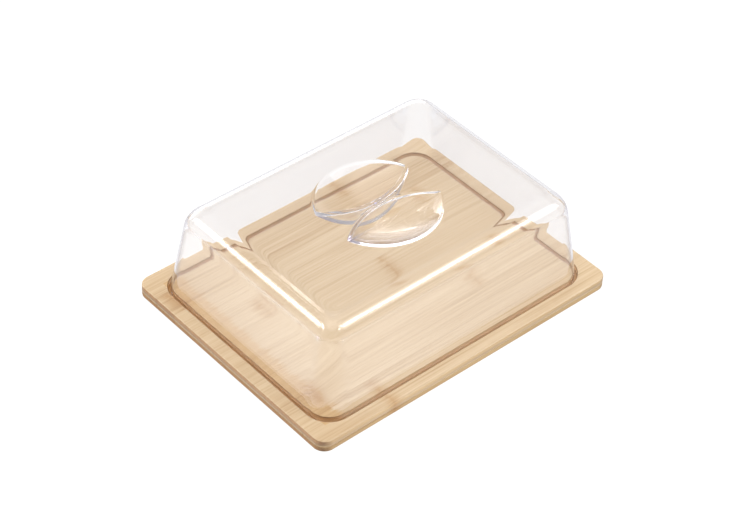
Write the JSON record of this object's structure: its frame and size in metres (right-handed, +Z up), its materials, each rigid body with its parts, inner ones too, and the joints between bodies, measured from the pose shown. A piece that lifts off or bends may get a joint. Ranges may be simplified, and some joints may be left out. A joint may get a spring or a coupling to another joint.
{
  "type": "butter dish",
  "caption": "Rectangular bamboo board with a groove all round, and a clear tapered cover with two finger recesses that stands in the groove and lifts off.",
  "frame": {"origin": "middle of the board's underside, on the surface that it stands on", "axes": "+X along the board's length and the finger recesses' length, +Y across it, +Z up, the way the cover lifts"},
  "size_m": [0.2, 0.1528, 0.0609],
  "materials": {
    "bamboo_core": "sanded and oiled bamboo edge",
    "bamboo_face": "sanded and oiled bamboo",
    "clear_acrylic": "clear polished acrylic"
  },
  "bodies": {
    "board": {"board_bottom_ply": "bamboo_core", "board_top_ply": "bamboo_face"},
    "cover": {"clear_cover": "clear_acrylic"}
  },
  "joints": [
    {"name": "cover_lift", "type": "slide", "parent": "board", "child": "cover", "axis": [0, 0, 1], "range_m": [0, 0.08]}
  ]
}
